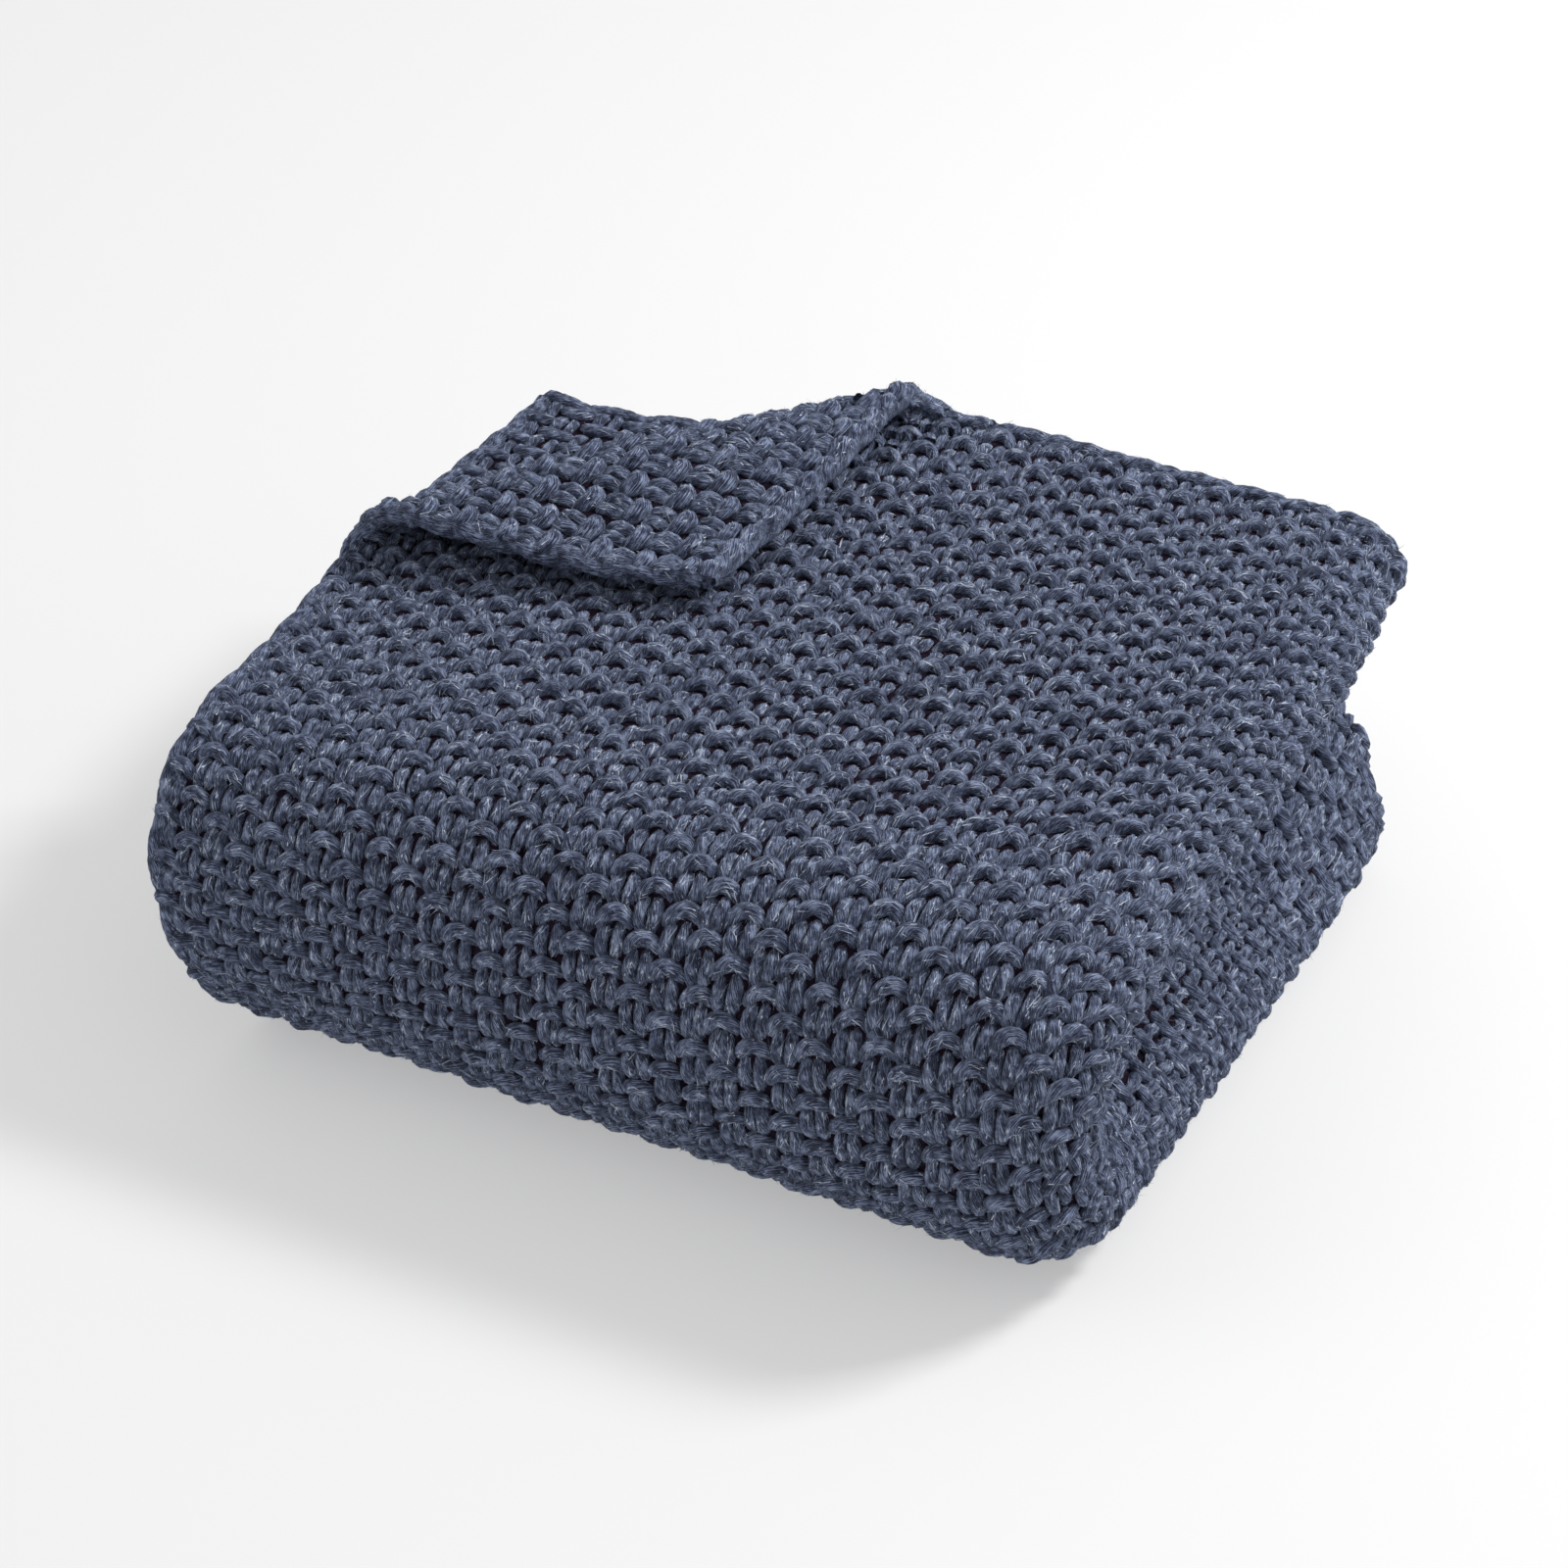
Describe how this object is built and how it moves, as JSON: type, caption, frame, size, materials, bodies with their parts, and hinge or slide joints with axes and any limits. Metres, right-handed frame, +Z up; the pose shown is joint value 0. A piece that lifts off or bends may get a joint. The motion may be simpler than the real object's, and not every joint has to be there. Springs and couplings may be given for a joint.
{
  "type": "knit throw",
  "caption": "Thick moss-stitch knitted throw, folded into a neat heap, with one corner turned back on top.",
  "frame": {"origin": "middle of the folded throw's outline, on the surface it rests on", "axes": "+X to the right along the half fold, which is at the front, +Y to the back, +Z up; the turned-back corner is at -X +Y"},
  "size_m": [0.4326, 0.3856, 0.1742],
  "materials": {
    "yarn": "matte slate-blue yarn, loosely plied and slightly fuzzy, knitted in moss stitch"
  },
  "bodies": {
    "root": {"knit_throw": "yarn"}
  },
  "joints": []
}
